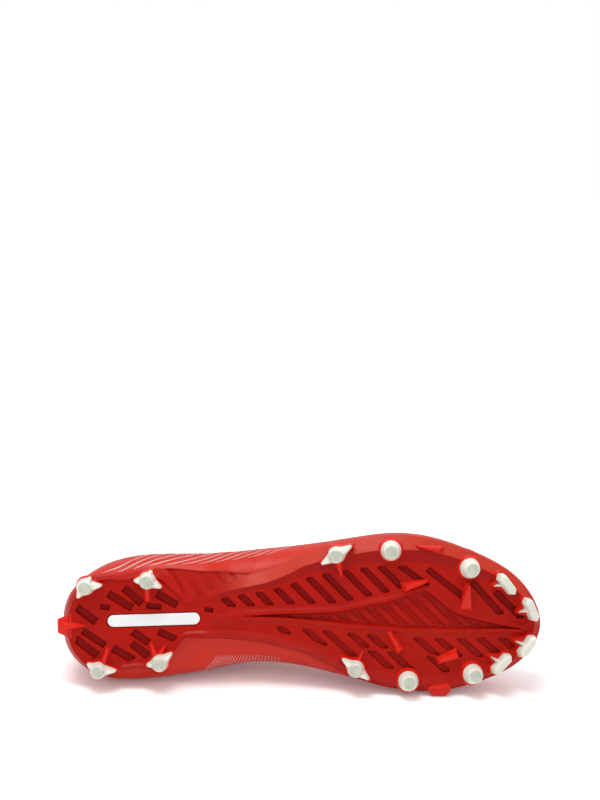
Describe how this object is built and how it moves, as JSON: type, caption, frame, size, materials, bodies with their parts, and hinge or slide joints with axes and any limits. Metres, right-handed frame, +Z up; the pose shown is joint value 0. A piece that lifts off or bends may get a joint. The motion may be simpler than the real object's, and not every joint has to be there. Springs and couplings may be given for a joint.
{
  "type": "american football cleat",
  "caption": "Low-cut cleat lying on its medial side: hollow upper, red sole plate with slots, ridges and white round, finned and bladed studs, insole, tongue and laces.",
  "frame": {"origin": "on the ground, under the middle of the bounding box of the shoe as it lies on its medial side", "axes": "+X from heel to toe, +Z up, sole facing -Y and a little upwards, lateral side up"},
  "size_m": [0.295, 0.1086, 0.0955],
  "materials": {
    "red_skin": "smooth semi-gloss synthetic skin",
    "red_plate": "semi-gloss moulded plastic",
    "white_tip": "satin off-white moulded plastic",
    "white_badge": "satin white inlay",
    "red_lining": "woven top cloth on foam",
    "red_tongue": "padded cloth",
    "white_lace": "flat woven lace"
  },
  "bodies": {
    "root": {"upper": "red_skin", "outsole_plate": "red_plate", "stud_heel_lateral_rear": "white_tip", "stud_heel_lateral_front": "white_tip", "stud_heel_medial_rear": "white_tip", "stud_heel_medial_front": "white_tip", "stud_mid_lateral": "white_tip", "stud_mid_medial": "white_tip", "stud_ball_lateral": "white_tip", "stud_ball_medial": "white_tip", "stud_fore_lateral": "white_tip", "stud_fore_medial": "white_tip", "stud_toe_lateral_outer": "white_tip", "stud_toe_lateral_inner": "white_tip", "stud_toe_medial_inner": "white_tip", "stud_toe_medial_outer": "white_tip", "heel_badge": "white_badge", "insole": "red_lining", "tongue": "red_tongue", "laces": "white_lace"}
  },
  "joints": []
}
